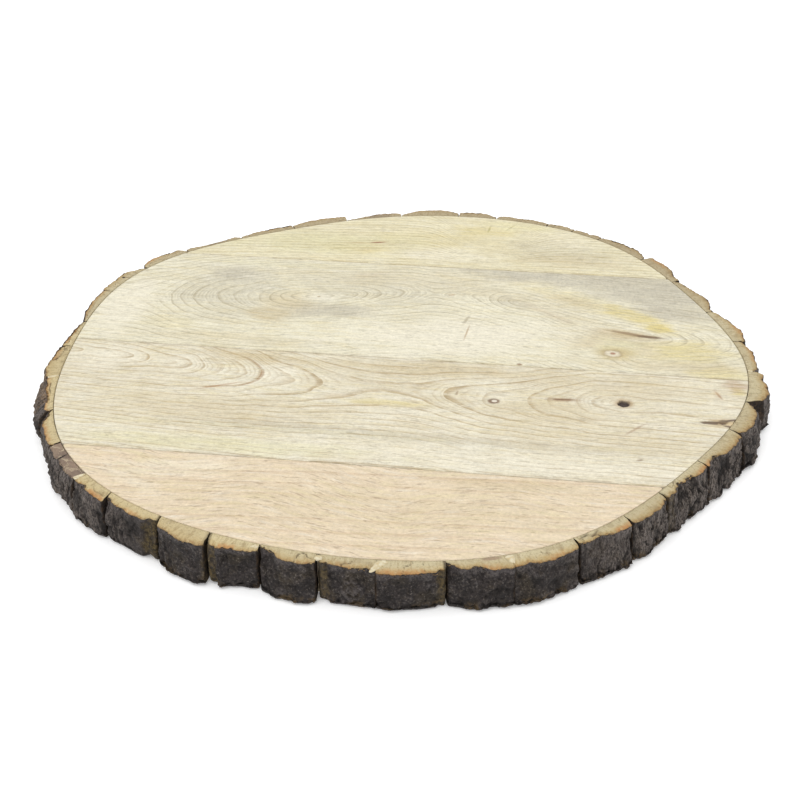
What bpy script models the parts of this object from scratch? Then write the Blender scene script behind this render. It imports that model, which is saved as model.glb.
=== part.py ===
"""Round serving board with a bark rim.

Four planks are glued edge to edge and cut to a nearly round outline. Thick blocks of bark are glued
round the cut edge one after another, so that the board looks like a slice of a trunk.

Metres, +Z up. The planks run along X, the underside lies at Z = 0, and the origin is the middle of
the underside. Angles are in degrees, anticlockwise from +X as seen from above.
"""

import math

import bmesh
import bpy

# The board
BOARD_RADIUS = 0.190
BOARD_HEIGHT = 0.022
SEAMS = (-0.119, -0.014, 0.107)     # glue lines between the planks, as places along Y
PLANK_NAMES = ("plank_front", "plank_mid_front", "plank_mid_back", "plank_back")
EDGE_SOFTENING = 0.0004             # chamfer left by sanding
SHARP_EDGE = 60.0                   # an edge that turns by more degrees than this is softened
RIM_STEP = 2.0                      # degrees between the points of the cut edge

# The outline isn't quite round. Each wave is (waves in a turn, height, degrees of its first crest).
OUTLINE_WAVES = (
    (2, 0.0039, 87),
    (3, 0.0017, 175),
    (4, 0.0019, -100),
    (5, 0.0030, 15),
    (6, 0.0014, -69),
    (7, 0.0010, -7),
)

# The bark
GLUE_GAP = 0.0003                   # between any two pieces
BARK_LIFT = 0.0006                  # the planks carry the board, and the bark hangs just clear
BARK_SIDE_GAP = 0.0008              # between two blocks of bark

# Each block of bark: the angle at which it starts, then, in millimetres, how far its top stands out
# from the board at its start, at a third and two thirds of its length and at its end, and how far its
# outer face bulges past that below.
BARK_BLOCKS = (
    (9, 8, 11, 9, 6, 2),
    (20, 6, 10, 8, 5, 2),
    (33, 7, 10, 11, 10, 2),
    (43.5, 6, 10, 9, 6, 2),
    (55, 7, 7, 7, 6, 2),
    (61, 6, 7, 7, 6, 2),
    (66.5, 6, 8, 9, 6, 2),
    (77, 5, 9, 10, 8, 2),
    (85, 7, 12, 11, 5, 2),
    (97, 7, 8, 5, 3, 2),
    (109, 9, 11, 10, 7, 2),
    (121, 8, 8, 7, 4, 2),
    (133, 6, 4, 5, 6, 3),
    (145, 8, 10, 9, 6, 2),
    (155, 4, 9, 8, 8, 2),
    (166, 7, 7, 6, 3, 3),
    (178, 3, 5, 6, 7, 4),
    (187, 7, 9, 10, 8, 3),
    (197, 7, 6, 6, 5, 8),
    (207.5, 5, 7, 7, 7, 2.5),
    (217, 7, 8, 8, 8, 3),
    (226.5, 7, 8, 8, 8, 3),
    (233, 6, 6, 7, 6, 3),
    (242.5, 7, 9, 11, 11, 1),
    (250.5, 10, 10, 8, 6, 1),
    (258, 5, 7, 9, 7, 1),
    (266, 7, 7, 8, 9, 1),
    (274, 10, 10, 9, 8, 0.5),
    (283, 4, 8, 9, 10, 1),
    (291.5, 9, 10, 9, 8, 1),
    (301, 6, 6, 8, 8, 1),
    (310, 8, 9, 9, 8, 1),
    (318, 7, 6, 8, 7, 2),
    (329, 7, 8, 9, 8, 2),
    (340, 9, 10, 9, 5, 3),
    (349, 10, 12, 10, 9, 2),
    (359, 7, 7, 8, 6, 2),
)
BARK_STATIONS = 7                   # points along each block's outer edge

# Blocks whose foot stands out past their top: the block's number, and by how many millimetres
BARK_FEET = {
    21: 1, 22: 2, 23: 2, 24: 2.5, 25: 0.7, 26: 3, 27: 1, 29: 2, 30: 2, 31: 4, 32: 2.5, 33: 3, 34: 3.5,
    35: 3.5, 36: 1.5,
}

# The outer face of the bark: (share of its height, share of the block's bulge)
BARK_FACE = (
    (0.00, 0.4),
    (0.20, 0.8),
    (0.50, 1.0),
    (0.80, 0.7),
    (1.00, 0.0),
)
FURROW_DEPTH = 0.0010               # the furrows that run down the outer face
COARSE_FURROWS = 41                 # in a whole turn
FINE_FURROWS = 97

# Colours are (red, green, blue), then roughness
PLANK_FINISHES = (
    ("tan_plank_wood", (0.66, 0.50, 0.36), 0.55),
    ("pale_plank_wood", (0.72, 0.62, 0.42), 0.55),
    ("pale_plank_wood", (0.72, 0.62, 0.42), 0.55),
    ("pale_plank_wood", (0.72, 0.62, 0.42), 0.55),
)
BARK_FINISH = ("bark", (0.10, 0.07, 0.05), 0.9)


# Working limits
WELD_DISTANCE = 0.00001
FLAT_ANGLE = 0.5                    # degrees, under which two faces are one flat face
SEAM_SEARCH = 89.0                  # a seam meets the cut edge within this of the X axis, in degrees
HALVINGS = 40


def clear_scene():
    """Remove whatever the file holds, so that only the board is left."""
    for found in list(bpy.data.objects):
        bpy.data.objects.remove(found, do_unlink=True)


def make_collection(name):
    """Return a new collection, linked to the scene."""
    collection = bpy.data.collections.new(name)
    bpy.context.scene.collection.children.link(collection)
    return collection


def finish_material(name, colour, roughness):
    """Return the Principled material of this name, made once."""
    known = bpy.data.materials.get(name)
    if known:
        return known
    material = bpy.data.materials.new(name)
    material.use_nodes = True
    shader = material.node_tree.nodes["Principled BSDF"]
    shader.inputs["Base Color"].default_value = (*colour, 1.0)
    shader.inputs["Roughness"].default_value = roughness
    shader.inputs["Metallic"].default_value = 0.0
    return material


def edge_radius(angle):
    """Radius of the cut edge of the planks: a circle with a few low waves on it."""
    radius = BOARD_RADIUS
    for waves, height, crest in OUTLINE_WAVES:
        radius += height * math.cos(math.radians(waves * angle - crest))
    return radius


def rim_point(angle, outward=0.0):
    """The point (x, y) that stands outward of the cut edge at an angle."""
    radius = edge_radius(angle) + outward
    turn = math.radians(angle)
    return radius * math.cos(turn), radius * math.sin(turn)


def rim_arc(first, last):
    """Points along the cut edge from one angle to another, both included."""
    steps = math.ceil((last - first) / RIM_STEP)
    return [rim_point(first + (last - first) * step / steps) for step in range(steps + 1)]


def seam_angle(seam, left):
    """Angle at which a seam meets the cut edge on its right or left end, by halving."""
    low, high = -SEAM_SEARCH, SEAM_SEARCH
    for _ in range(HALVINGS):
        middle = (low + high) / 2.0
        angle = 180.0 - middle if left else middle
        if rim_point(angle)[1] < seam:
            low = middle
        else:
            high = middle
    return 180.0 - low if left else low


def plank_outline(front, back):
    """Outline of the plank between two places along Y. None means that it runs to the cut edge."""
    if front is None:
        return rim_arc(seam_angle(back, True), 360.0 + seam_angle(back, False))
    if back is None:
        return rim_arc(seam_angle(front, False), seam_angle(front, True))
    right_end = rim_arc(seam_angle(front, False), seam_angle(back, False))
    left_end = rim_arc(seam_angle(back, True), seam_angle(front, True))
    return right_end + left_end


def flat_curve(name, outline, thickness):
    """A closed flat curve with this thickness, half of it on each side of its plane."""
    curve = bpy.data.curves.new(name, "CURVE")
    curve.dimensions = "2D"
    curve.fill_mode = "BOTH"
    curve.extrude = thickness / 2.0
    spline = curve.splines.new("POLY")
    spline.points.add(len(outline) - 1)
    for point, (x, y) in zip(spline.points, outline):
        point.co = (x, y, 0.0, 1.0)
    spline.use_cyclic_u = True
    return bpy.data.objects.new(name, curve)


def as_mesh(curve_object, collection):
    """Turn a curve object into a welded mesh object of the same name and place."""
    name = curve_object.name
    curve_object.name = name + "_curve"
    collection.objects.link(curve_object)
    bpy.context.view_layer.update()
    evaluated = curve_object.evaluated_get(bpy.context.evaluated_depsgraph_get())
    mesh = bpy.data.meshes.new_from_object(evaluated)
    mesh.name = name
    work = bmesh.new()
    work.from_mesh(mesh)
    bmesh.ops.remove_doubles(work, verts=work.verts, dist=WELD_DISTANCE)
    bmesh.ops.dissolve_limit(
        work,
        angle_limit=math.radians(FLAT_ANGLE),
        verts=work.verts,
        edges=work.edges,
    )
    bmesh.ops.recalc_face_normals(work, faces=work.faces)
    work.to_mesh(mesh)
    work.free()
    solid = bpy.data.objects.new(name, mesh)
    solid.matrix_world = curve_object.matrix_world
    collection.objects.link(solid)
    bpy.data.objects.remove(curve_object, do_unlink=True)
    return solid


def add_plank(name, front, back, finish, collection, centre):
    """One plank: its outline, as thick as the board, with softened edges."""
    curve_object = flat_curve(name, plank_outline(front, back), BOARD_HEIGHT)
    curve_object.location.z = BOARD_HEIGHT / 2.0
    plank = as_mesh(curve_object, collection)
    soften = plank.modifiers.new("softened_edges", "BEVEL")
    soften.width = EDGE_SOFTENING
    soften.segments = 1
    soften.limit_method = "ANGLE"
    soften.angle_limit = math.radians(SHARP_EDGE)
    plank.data.materials.append(finish_material(*finish))
    plank.parent = centre
    return plank


def along(depths, share):
    """Depth at a share of a block's length, on straight lines between its given depths."""
    place = share * (len(depths) - 1)
    index = min(int(place), len(depths) - 2)
    return depths[index] + (depths[index + 1] - depths[index]) * (place - index)


def furrow(angle, first):
    """How far the furrowed outer face stands in or out at an angle, in a block that starts at first."""
    coarse = math.sin(math.radians(COARSE_FURROWS * (angle - first)))
    fine = math.sin(math.radians(FINE_FURROWS * angle))
    return FURROW_DEPTH * (coarse + fine) / 2.0


def add_bark_block(name, block, end, foot, collection, centre):
    """One block of bark, from its own starting angle to the next block's.

    It is a loft through five level sections. Each section follows the board's edge on its inner side.
    On the outer side the top section follows the block's depths, and the ones below bulge past it. The
    foot is added in full at the bottom, and by the square of the share that is left higher up.
    """
    start, *depths, bulge = block
    half_gap = math.degrees(BARK_SIDE_GAP / 2.0 / BOARD_RADIUS)
    first = start + half_gap
    last = end - half_gap
    shares = [station / (BARK_STATIONS - 1) for station in range(BARK_STATIONS)]
    work = bmesh.new()
    sections = []
    for level_share, bulge_share in BARK_FACE:
        height = BARK_LIFT + (BOARD_HEIGHT - BARK_LIFT) * level_share
        section = []
        for share in shares:
            angle = first + (last - first) * share
            outward = along(depths, share) + bulge * bulge_share + foot * (1.0 - level_share) ** 2
            outward /= 1000.0
            outward += furrow(angle, first) * (1.0 - level_share)
            section.append(work.verts.new((*rim_point(angle, outward), height)))
        for share in reversed(shares):
            angle = first + (last - first) * share
            section.append(work.verts.new((*rim_point(angle, GLUE_GAP), height)))
        sections.append(section)
    for lower, upper in zip(sections, sections[1:]):
        for index, corner in enumerate(lower):
            after = (index + 1) % len(lower)
            work.faces.new((corner, lower[after], upper[after], upper[index]))
    work.faces.new(sections[-1])
    work.faces.new(reversed(sections[0]))
    mesh = bpy.data.meshes.new(name)
    work.to_mesh(mesh)
    work.free()
    block_object = bpy.data.objects.new(name, mesh)
    block_object.data.materials.append(finish_material(*BARK_FINISH))
    block_object.parent = centre
    collection.objects.link(block_object)
    return block_object


def build():
    """Make the planks from front to back, then the bark round them."""
    clear_scene()
    board = make_collection("bark_edge_board")
    centre = bpy.data.objects.new("board_centre", None)
    board.objects.link(centre)

    fronts = [None] + [seam + GLUE_GAP / 2.0 for seam in SEAMS]
    backs = [seam - GLUE_GAP / 2.0 for seam in SEAMS] + [None]
    for name, front, back, finish in zip(PLANK_NAMES, fronts, backs, PLANK_FINISHES):
        add_plank(name, front, back, finish, board, centre)

    ends = [block[0] for block in BARK_BLOCKS[1:]] + [BARK_BLOCKS[0][0] + 360.0]
    for number, (block, end) in enumerate(zip(BARK_BLOCKS, ends), start=1):
        foot = BARK_FEET.get(number, 0.0)
        add_bark_block(f"bark_{number:02d}", block, end, foot, board, centre)


build()
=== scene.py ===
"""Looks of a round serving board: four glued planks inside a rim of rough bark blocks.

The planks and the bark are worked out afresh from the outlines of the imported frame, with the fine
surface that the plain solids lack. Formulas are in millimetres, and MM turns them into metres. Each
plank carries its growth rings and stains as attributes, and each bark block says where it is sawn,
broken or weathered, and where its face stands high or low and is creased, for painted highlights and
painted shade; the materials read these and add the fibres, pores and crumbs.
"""

import math

import bpy
import numpy as np
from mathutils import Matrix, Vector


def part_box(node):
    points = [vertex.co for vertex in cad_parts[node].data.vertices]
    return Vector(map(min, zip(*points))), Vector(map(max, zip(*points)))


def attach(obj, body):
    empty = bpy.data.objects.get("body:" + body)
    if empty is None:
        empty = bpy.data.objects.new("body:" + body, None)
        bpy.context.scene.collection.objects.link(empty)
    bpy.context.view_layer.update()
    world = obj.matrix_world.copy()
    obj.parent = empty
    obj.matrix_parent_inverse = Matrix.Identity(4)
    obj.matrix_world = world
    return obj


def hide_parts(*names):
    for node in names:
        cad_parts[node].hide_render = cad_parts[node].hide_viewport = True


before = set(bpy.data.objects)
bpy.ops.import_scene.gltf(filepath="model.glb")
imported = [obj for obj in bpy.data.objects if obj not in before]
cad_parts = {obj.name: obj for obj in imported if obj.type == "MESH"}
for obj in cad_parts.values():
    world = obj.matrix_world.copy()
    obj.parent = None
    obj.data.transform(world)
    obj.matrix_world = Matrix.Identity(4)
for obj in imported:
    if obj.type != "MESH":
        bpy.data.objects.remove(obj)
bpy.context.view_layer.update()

MM = 0.001


# Numbers that vary smoothly

LATTICE_SIZE = 32
LATTICE = np.random.default_rng(11).random((LATTICE_SIZE,) * 3)


def noise(x, y, z=0.0, seed=0):
    """Smooth noise from -1 to 1: random values at whole numbers, blended by 3t² - 2t³ between them."""
    x, y, z = np.broadcast_arrays(x + 7.31 * seed, y + 3.77 * seed, z + 5.13 * seed)
    corner = [np.floor(part).astype(int) for part in (x, y, z)]
    blend = [part - whole for part, whole in zip((x, y, z), corner)]
    blend = [part * part * (3.0 - 2.0 * part) for part in blend]
    total = np.zeros(x.shape)
    for step_x in (0, 1):
        for step_y in (0, 1):
            for step_z in (0, 1):
                weight = 1.0
                index = []
                for part, whole, step in zip(blend, corner, (step_x, step_y, step_z)):
                    weight = weight * (part if step else 1.0 - part)
                    index.append((whole + step) % LATTICE_SIZE)
                total += weight * LATTICE[tuple(index)]
    return 2.0 * total - 1.0


def layered(x, y, z=0.0, seed=0, layers=3):
    """Noise with finer, weaker noise on it: each layer is twice as fine and half as strong."""
    total = 0.0
    for layer in range(layers):
        scale = 2.0 ** layer
        total = total + noise(x * scale, y * scale, z * scale, seed + 10 * layer) / scale
    return total


def plates(x, y, seed=0):
    """Cells round points scattered one to a unit square.

    Gives the width of the crack beside each place, as the distance to the second nearest point less
    that to the nearest, and a random number from 0 to 1 for the nearest point's cell.
    """
    whole_x = np.floor(x).astype(int)
    whole_y = np.floor(y).astype(int)
    nearest = np.full(x.shape, 9.0)
    second = np.full(x.shape, 9.0)
    number = np.zeros(x.shape)
    for step_x in (-1, 0, 1):
        for step_y in (-1, 0, 1):
            cell_x = (whole_x + step_x) % LATTICE_SIZE
            cell_y = (whole_y + step_y) % LATTICE_SIZE
            point_x = whole_x + step_x + LATTICE[cell_x, cell_y, seed % LATTICE_SIZE]
            point_y = whole_y + step_y + LATTICE[cell_x, cell_y, (seed + 7) % LATTICE_SIZE]
            away = np.hypot(x - point_x, y - point_y)
            closer = away < nearest
            second = np.where(closer, nearest, np.minimum(second, away))
            number = np.where(closer, LATTICE[cell_x, cell_y, (seed + 13) % LATTICE_SIZE], number)
            nearest = np.where(closer, away, nearest)
    return second - nearest, number


def smooth(value, low, high):
    """0 below low, 1 above high and 3t² - 2t³ between. With low above high it falls instead."""
    share = np.clip((value - low) / (high - low), 0.0, 1.0)
    return share * share * (3.0 - 2.0 * share)


def curve_through(points, x):
    """A smooth curve through points (x, y): cubic pieces whose slopes come from their neighbours."""
    known_x, known_y = np.array(points, float).T
    slopes = np.gradient(known_y, known_x)
    x = np.clip(x, known_x[0], known_x[-1])
    piece = np.clip(np.searchsorted(known_x, x) - 1, 0, len(known_x) - 2)
    width = known_x[piece + 1] - known_x[piece]
    t = (x - known_x[piece]) / width
    return (
        known_y[piece] * (1.0 + 2.0 * t) * (1.0 - t) ** 2
        + slopes[piece] * width * t * (1.0 - t) ** 2
        + known_y[piece + 1] * t * t * (3.0 - 2.0 * t)
        - slopes[piece + 1] * width * t * t * (1.0 - t)
    )


# Pieces


def node_points(name):
    """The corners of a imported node, in millimetres, as rows (x, y, z)."""
    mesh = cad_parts[name].data
    points = np.empty(len(mesh.vertices) * 3)
    mesh.vertices.foreach_get("co", points)
    return points.reshape(-1, 3) / MM


def make_piece(name, node, points, faces, marks, material):
    """A piece from points (in millimetres) and faces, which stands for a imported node.

    marks gives the point attributes that its material reads.
    """
    mesh = bpy.data.meshes.new(name)
    mesh.from_pydata((points.reshape(-1, 3) * MM).tolist(), [], faces)
    for mark, values in marks.items():
        attribute = mesh.attributes.new(mark, "FLOAT", "POINT")
        attribute.data.foreach_set("value", np.ascontiguousarray(values, dtype=np.float32).ravel())
    mesh.shade_smooth()
    mesh.materials.append(material)
    piece = bpy.data.objects.new(name, mesh)
    bpy.context.scene.collection.objects.link(piece)
    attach(piece, "root")
    if node:
        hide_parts(node)


def wrapped_grid(rows, columns):
    """Numbers of a grid of points that is closed across its columns: the first column comes again last."""
    index = np.arange(rows * columns).reshape(rows, columns)
    return np.concatenate([index, index[:, :1]], axis=1)


def capped_tube(rows, columns):
    """Faces of a tube of rows · columns points, whose ends close in the two points that follow them."""
    grid = wrapped_grid(rows, columns)
    corners = (grid[:-1, :-1], grid[1:, :-1], grid[1:, 1:], grid[:-1, 1:])
    first = np.stack([np.full(columns, rows * columns), grid[0, :-1], grid[0, 1:]], axis=-1)
    last = np.stack([np.full(columns, rows * columns + 1), grid[-1, 1:], grid[-1, :-1]], axis=-1)
    return np.stack(corners, axis=-1).reshape(-1, 4).tolist() + first.tolist() + last.tolist()


def polar_points(radius, turn, height):
    """Points from their radii, their angles and their heights."""
    return np.stack([radius * np.cos(turn), radius * np.sin(turn), height], axis=-1)


def in_ellipse(x, y, centre, radii, turn):
    """A place less an ellipse's centre, turned back by turn degrees and divided by the ellipse's radii."""
    cosine, sine = math.cos(math.radians(turn)), math.sin(math.radians(turn))
    east, north = x - centre[0], y - centre[1]
    return (east * cosine + north * sine) / radii[0], (north * cosine - east * sine) / radii[1]


# Materials: arithmetic on sockets


class Value:
    """A number that a material works out. Arithmetic on it adds Math nodes."""

    def __init__(self, recipe, socket):
        self.recipe = recipe
        self.socket = socket

    def math(self, operation, *others):
        """One Math node on this value and the others."""
        inputs = dict(enumerate((self,) + others))
        return self.recipe.add("ShaderNodeMath", {"operation": operation}, inputs)

    def __add__(self, other):
        return self.math("ADD", other)

    __radd__ = __add__

    def __mul__(self, other):
        return self.math("MULTIPLY", other)

    __rmul__ = __mul__

    def __sub__(self, other):
        return self.math("SUBTRACT", other)

    def __rsub__(self, other):
        return self.recipe.add("ShaderNodeMath", {"operation": "SUBTRACT"}, {0: other, 1: self})

    def __truediv__(self, other):
        return self.math("DIVIDE", other)

    def __pow__(self, other):
        return self.math("POWER", other)

    def fade(self, low, high):
        """0 at low, 1 at high, and smooth between. With low above high it falls instead."""
        inputs = {"Value": self, "From Min": low, "From Max": high}
        return self.recipe.add("ShaderNodeMapRange", {"interpolation_type": "SMOOTHSTEP"}, inputs)


class Recipe:
    """One material: a Principled shader, and the nodes that feed it."""

    COLOUR_A, COLOUR_B, COLOUR_RESULT = 6, 7, 2     # the Mix node's colour sockets

    def __init__(self, name, roughness, specular=0.5):
        self.material = bpy.data.materials.new(name)
        self.material.use_nodes = True
        self.tree = self.material.node_tree
        self.shader = self.tree.nodes["Principled BSDF"]
        self.shader.inputs["Roughness"].default_value = roughness
        self.shader.inputs["Specular IOR Level"].default_value = specular
        place = self.add("ShaderNodeTexCoord", {}, {}, "Object")
        self.place = self.add("ShaderNodeVectorMath", {"operation": "SCALE"}, {0: place, "Scale": 1.0 / MM})
        self.x, self.y, self.z = self.parts(self.place)

    def add(self, kind, settings, inputs, output=0):
        """Any node: its type, its settings, then the values or links of its sockets."""
        node = self.tree.nodes.new(kind)
        for setting, value in settings.items():
            setattr(node, setting, value)
        for name, value in inputs.items():
            if isinstance(value, Value):
                self.tree.links.new(value.socket, node.inputs[name])
            else:
                node.inputs[name].default_value = value
        return Value(self, node.outputs[output])

    def parts(self, vector):
        """The three numbers of a vector."""
        node = self.tree.nodes.new("ShaderNodeSeparateXYZ")
        self.tree.links.new(vector.socket, node.inputs[0])
        return [Value(self, socket) for socket in node.outputs]

    def vector(self, x, y, z):
        """A vector from three numbers."""
        return self.add("ShaderNodeCombineXYZ", {}, {0: x, 1: y, 2: z})

    def mark(self, name):
        """A point attribute of the piece."""
        return self.add("ShaderNodeAttribute", {"attribute_name": name}, {}, "Fac")

    def noise(self, vector, scale=1.0, detail=2.0, roughness=0.5):
        """Noise from 0 to 1 at a vector."""
        inputs = {"Vector": vector, "Scale": scale, "Detail": detail, "Roughness": roughness}
        return self.add("ShaderNodeTexNoise", {}, inputs, "Fac")

    def mix(self, share, first, second):
        """First where share is 0 and second where it is 1, both colours."""
        inputs = {0: share, self.COLOUR_A: first, self.COLOUR_B: second}
        return self.add("ShaderNodeMix", {"data_type": "RGBA"}, inputs, self.COLOUR_RESULT)

    def coats(self, tint, *coats):
        """Coats of colour laid over a tint one after another, each as its share and its 0 to 255 colour."""
        for share, stain in coats:
            tint = self.mix(share, tint, colour(*stain))
        return tint

    def shade(self, colour, amount):
        """A colour times one number."""
        return self.add("ShaderNodeVectorMath", {"operation": "SCALE"}, {0: colour, "Scale": amount})

    def ellipse(self, centre, radii, turn=0.0, wobble=0.0):
        """How far out a place is from an ellipse's centre: 1 on its edge. wobble adds noise to it."""
        along, across = in_ellipse(self.x, self.y, centre, radii, turn)
        out = (along * along + across * across) ** 0.5
        if wobble:
            out = out + (self.noise(self.place, 0.35) - 0.5) * wobble
        return out

    def finish(self, colour, height=None, distance=0.1, roughness=None):
        """Link the colour, a bump of this distance in millimetres, and the roughness."""
        self.tree.links.new(colour.socket, self.shader.inputs["Base Color"])
        if height is not None:
            inputs = {"Height": height, "Distance": distance * MM, "Strength": 1.0}
            bump = self.add("ShaderNodeBump", {}, inputs)
            self.tree.links.new(bump.socket, self.shader.inputs["Normal"])
        if roughness is not None:
            self.tree.links.new(roughness.socket, self.shader.inputs["Roughness"])
        return self.material


STUDIO_LIGHT = 1.3              # what falls on the serving face, as a multiple of plain white


def colour(red, green, blue, light=STUDIO_LIGHT):
    """The opaque colour that shows as these 0 to 255 numbers of a display under the studio's light."""
    parts = []
    for part in (red, green, blue):
        share = part / 255.0
        linear = share / 12.92 if share <= 0.04045 else ((share + 0.055) / 1.055) ** 2.4
        parts.append(linear / light)
    return (*parts, 1.0)


# The planks

PLANK_NAMES = ("plank_front", "plank_mid_front", "plank_mid_back", "plank_back")
PLANK_SPACING = 1.0             # between the points of a plank's surface
PLANK_ROUNDING = 0.4            # of its edges
PLANK_TIP = 0.7                 # cut off each thin tip of an end plank
SEAM_REACH = 150.0              # every seam lies within this of the board's middle
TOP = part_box("plank_front")[1][2] / MM
ROUND_STEPS = ((0.0, 1.0), (0.3, 0.3), (1.0, 0.0))     # (inwards, down) in roundings, from the edge
RING_SLANT = 0.7                # how much farther from the heart the rings are, for each mm of depth


def cut_edge():
    """The board's cut edge, from the widest corners of all the planks: their angles and radii."""
    points = np.concatenate([node_points(name) for name in PLANK_NAMES])
    widest = points[np.abs(points[:, 2] - TOP / 2.0) < TOP / 2.0 - 0.2]
    angles = np.arctan2(widest[:, 1], widest[:, 0]) % (2.0 * math.pi)
    order = np.argsort(angles)
    return angles[order], np.hypot(widest[:, 0], widest[:, 1])[order]


EDGE_ANGLES, EDGE_RADII = cut_edge()


def edge_radius(angle):
    """Radius of the cut edge at an angle, straight between the corners."""
    return np.interp(angle, EDGE_ANGLES, EDGE_RADII, period=2.0 * math.pi)


def edge_crossing(place, along, side):
    """Where the cut edge crosses a line across the board, on one of its two sides.

    along is 1 where place is given along Y and the crossing along X, and 0 the other way round. The
    half of the edge on that side is walked in small steps, and read at the place.
    """
    middle = (0.0 if side > 0 else math.pi) if along else side * math.pi / 2.0
    angles = middle + np.linspace(-1.5, 1.5, 3001)
    edge = edge_radius(angles) * np.array([np.cos(angles), np.sin(angles)])
    order = np.argsort(edge[along])
    return np.interp(place, edge[along][order], edge[1 - along][order])


def crowded(count, centres, width):
    """Shares from 0 to 1 that lie four times as close together near some centres.

    The density is 1 plus 3·exp(-((share - centre) / width)²) for each centre. The shares are read
    where its running total passes equal parts.
    """
    share = np.linspace(0.0, 1.0, 2001)
    density = np.ones(share.shape)
    for centre in centres:
        density += 3.0 * np.exp(-(((share - centre) / width) ** 2))
    total = np.concatenate([[0.0], np.cumsum((density[1:] + density[:-1]) / 2.0)])
    return np.interp(np.linspace(0.0, total[-1], count), total, share)


def plank_grid(places, low, high, shares):
    """A plank's closed surface as a flat section carried along it.

    places run along the plank's grid and low and high are its two edges there. A section runs across
    the top from low to high and back across the bottom, rounded at both edges, and the first and
    last sections are rounded off in the same way. Gives the places, the places across and the
    heights of the points, and the faces. The ends are closed by faces from the top row to the bottom.
    """
    rounding = np.array(ROUND_STEPS) * PLANK_ROUNDING
    half = TOP / 2.0
    inner = (high - low)[:, None] - 2.0 * PLANK_ROUNDING
    flat = low[:, None] + PLANK_ROUNDING + inner * shares[1:-1]
    left = low[:, None] + np.concatenate([[0.0], rounding[:, 0]])
    right = high[:, None] - np.concatenate([[0.0], rounding[:, 0]])[::-1]
    across = np.concatenate([left, flat, right], axis=1)
    down = np.concatenate([[half], rounding[:, 1], np.zeros(len(shares) - 2), rounding[::-1, 1], [half]])
    end_down = np.zeros(len(places))
    end_down[:len(rounding)] = rounding[:, 1]
    end_down[-len(rounding):] = rounding[::-1, 1]
    down = np.maximum(down[None, :], end_down[:, None])
    across = np.concatenate([across, across[:, -2:0:-1]], axis=1)
    height = np.concatenate([TOP - down, down[:, -2:0:-1]], axis=1)
    along = np.broadcast_to(places[:, None], across.shape)
    rows, columns = across.shape
    index = wrapped_grid(rows, columns)
    corners = (index[:-1, :-1], index[:-1, 1:], index[1:, 1:], index[1:, :-1])
    faces = [np.stack(corners, axis=-1).reshape(-1, 4)]
    width = columns // 2 + 1
    for row, turn in ((index[0], -1), (index[-1], 1)):
        upper, lower = row[:width], row[:width - 2:-1]
        cap = np.stack([upper[1:-2], upper[2:-1], lower[2:-1], lower[1:-2]], axis=-1)
        ends = np.array([
            [upper[0], upper[1], lower[1], lower[1]],
            [upper[-2], upper[-1], lower[-2], lower[-2]],
        ])
        faces.append(np.concatenate([cap, ends])[:, ::turn])
    return along, across, height, np.concatenate(faces)


def clean_faces(faces):
    """Faces as lists of corners, with a corner that is named twice running named once."""
    return [list(dict.fromkeys(face)) for face in faces.tolist()]


def plank_places(low, high, count, centres=(), width=0.05):
    """Places from low to high, crowded near some, with the steps of the rounding at both ends."""
    rounding = np.array(ROUND_STEPS)[:, 0] * PLANK_ROUNDING
    spread = (np.array(centres) - low) / (high - low)
    inner = low + PLANK_ROUNDING + (high - low - 2.0 * PLANK_ROUNDING) * crowded(count, spread, width)
    return np.concatenate([low + rounding[:-1], inner, high - rounding[-2::-1]])


def blot(x, y, centre, radii, turn=0.0, ragged=0.3):
    """1 in the middle of a turned ellipse, falling smoothly to 0 past its edge, which noise makes ragged."""
    out = np.hypot(*in_ellipse(x, y, centre, radii, turn))
    step = 0.45 * min(radii) + 1.0
    out = out + ragged * layered(x / (2.0 * step), y / step, 0.0, int(abs(centre[0])) % 17)
    return smooth(out, 1.25, 0.3)


def stain_marks(x, y, stains):
    """The point attributes of a plank's stains: for each kind, the strongest stain at each place."""
    marks = {kind: np.zeros(x.shape) for kind in STAIN_KINDS}
    for kind, centre, radii, turn, strength in stains:
        marks[kind] = np.maximum(marks[kind], strength * blot(x, y, centre, radii, turn))
    return marks


def arches(x, y, depth, ring, heart, nearness, swells):
    """How far a place lies from the tree's heart, which gives its growth rings.

    The heart runs at y = heart(x), and ring · nearness(x) is how far below the top face it passes.
    The distance is the square root of (y - heart)² + (ring · nearness + slant · depth)², plus
    noise. Each knot adds its swell, height · exp(-(distance to the knot / width)²), so that the
    rings bend round it.
    """
    below = ring * curve_through(nearness, x) + RING_SLANT * depth
    away = np.hypot(y - curve_through(heart, x), below)
    for knot_x, knot_y, width, height in swells:
        away = away + height * np.exp(-((x - knot_x) ** 2 + (y - knot_y) ** 2) / width ** 2)
    wander = 0.45 * layered(x / 30.0, y / 10.0, depth / 9.0, 3, 2)
    return away + (wander + 0.35 * noise(x / 7.0, y / 4.0, depth / 9.0, 21))


# "plain" is no colour: the growth rings fade there
STAIN_KINDS = ("grey", "yellow", "lemon", "tan", "pale", "brown", "green", "plain")

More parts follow.
